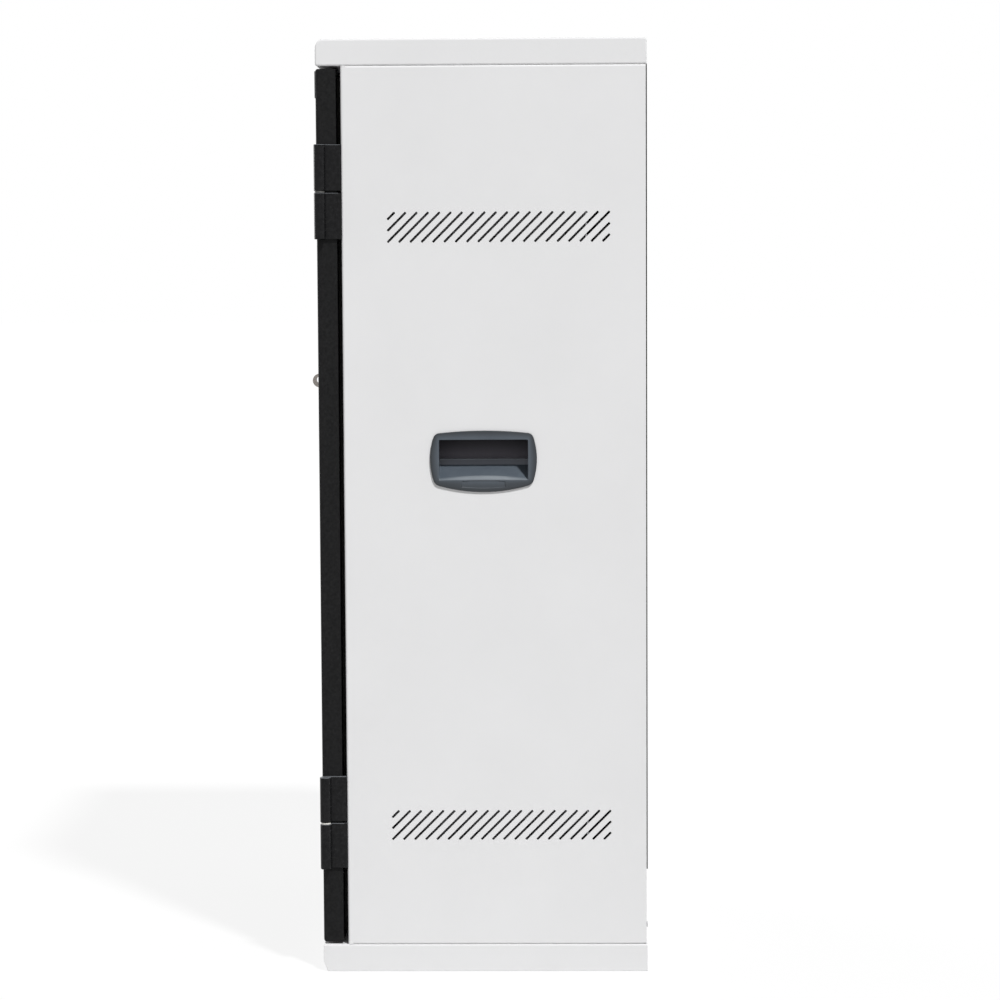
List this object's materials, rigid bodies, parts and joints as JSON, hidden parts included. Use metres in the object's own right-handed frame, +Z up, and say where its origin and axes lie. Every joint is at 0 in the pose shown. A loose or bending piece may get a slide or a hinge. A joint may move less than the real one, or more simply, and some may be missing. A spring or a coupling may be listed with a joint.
{
  "type": "device charging cabinet",
  "caption": "Tall steel cabinet with a hinged, key-locked front door that stores laptops or tablets on shelves and charges them from a closed rear power space.",
  "frame": {"origin": "centre of the base underside, on the floor", "axes": "+Z up, -Y towards the front door, +X towards the hinge side"},
  "size_m": [0.4525, 0.3931, 1],
  "materials": {
    "white_paint": "powder coat, satin pale grey-white",
    "black_paint": "powder coat, fine-textured black",
    "grey_paint": "powder coat, satin mid grey",
    "shelf_paint": "powder coat, fine-textured charcoal",
    "zinc_steel": "bright zinc plate",
    "chrome": "polished chrome plate",
    "brass": "turned brass",
    "charger_aluminium": "extruded, natural anodised",
    "slate_plastic": "fine-grained moulding",
    "black_plastic": "moulded",
    "white_plastic": "moulded, smooth",
    "white_nylon": "natural nylon",
    "grey_plastic": "moulded, matt",
    "lamp_lens": "clear tinted lens",
    "seal_rubber": "closed-cell foam rubber"
  },
  "bodies": {
    "carcass": {"top_cap": "white_paint", "base_pan": "white_paint", "side_panel_hinge_side": "white_paint", "side_panel_lock_side": "white_paint", "front_top_rail": "white_paint", "front_bottom_rail": "white_paint", "rear_sill": "white_paint", "shelf_rack_hinge_side": "grey_paint", "shelf_rack_lock_side": "grey_paint", "bulkhead": "grey_paint", "device_shelf_1": "shelf_paint", "device_shelf_2": "shelf_paint", "device_shelf_3": "shelf_paint", "device_shelf_4": "shelf_paint", "device_shelf_5": "shelf_paint", "device_shelf_6": "shelf_paint", "device_shelf_7": "shelf_paint", "device_shelf_8": "shelf_paint", "device_shelf_9": "shelf_paint", "device_shelf_10": "shelf_paint", "rear_panel": "black_paint", "hinge_frame_leaves": "black_paint", "hinge_pins": "zinc_steel", "bulkhead_screws": "zinc_steel", "rear_screws": "zinc_steel", "earth_stud": "brass", "hinge_washers": "white_nylon", "lock_rod_sockets": "white_nylon", "carry_handle_hinge_side": "slate_plastic", "carry_handle_lock_side": "slate_plastic", "mains_inlet": "black_plastic", "main_switch_housing": "black_plastic", "circuit_breaker": "black_plastic", "charger_ports_lower": "black_plastic", "charger_ports_upper": "black_plastic", "terminal_block": "black_plastic", "charger_unit_lower": "charger_aluminium", "charger_unit_upper": "charger_aluminium", "power_supply": "charger_aluminium", "wiring_duct": "grey_plastic", "wiring_duct_cover": "grey_plastic", "power_manager": "grey_plastic", "status_lamps": "lamp_lens"},
    "front_door": {"door_skin": "black_paint", "door_header_plate": "black_paint", "door_stiffeners": "black_paint", "door_seal": "seal_rubber", "hinge_door_leaves": "black_paint", "lock_housing": "chrome", "lock_case": "zinc_steel", "lock_rod_guides": "white_nylon"},
    "lock_cylinder": {"lock_plug": "chrome", "lock_pinion": "zinc_steel", "key": "chrome"},
    "upper_rod": {"lock_rod_upper": "zinc_steel"},
    "lower_rod": {"lock_rod_lower": "zinc_steel"},
    "rocker": {"main_switch_rocker": "black_plastic"},
    "reset_button": {"breaker_button": "white_plastic"},
    "push_button": {"manager_button": "white_plastic"}
  },
  "joints": [
    {"name": "front_door_hinge", "type": "hinge", "parent": "carcass", "child": "front_door", "pos_m": [0.2235, -0.17125, 0.5], "axis": [0, 0, 1], "range_deg": [0, 250]},
    {"name": "upper_rod_slide", "type": "slide", "parent": "front_door", "child": "upper_rod", "axis": [0, 0, 1], "range_m": [0, 0.0141]},
    {"name": "lower_rod_slide", "type": "slide", "parent": "front_door", "child": "lower_rod", "axis": [0, 0, -1], "range_m": [0, 0.0141]},
    {"name": "lock_turn", "type": "hinge", "parent": "front_door", "child": "lock_cylinder", "pos_m": [-0.175, -0.16435, 0.6249], "axis": [0, -1, 0], "range_deg": [0, 90]},
    {"name": "main_rocker_tilt", "type": "hinge", "parent": "carcass", "child": "rocker", "pos_m": [-0.07, 0.16985, 0.0715], "axis": [-1, 0, 0], "range_deg": [0, 24]},
    {"name": "breaker_button_slide", "type": "slide", "parent": "carcass", "child": "reset_button", "axis": [0, 1, 0], "range_m": [0, 0.0035]},
    {"name": "manager_button_press", "type": "slide", "parent": "carcass", "child": "push_button", "axis": [0, 1, 0], "range_m": [0, 0.0015], "stiffness_N_per_m": 300}
  ],
  "couplings": [
    {"joint": "lock_turn", "follows": "upper_rod_slide", "rad_per_m": 111.11},
    {"joint": "lower_rod_slide", "follows": "upper_rod_slide", "ratio": 1}
  ]
}
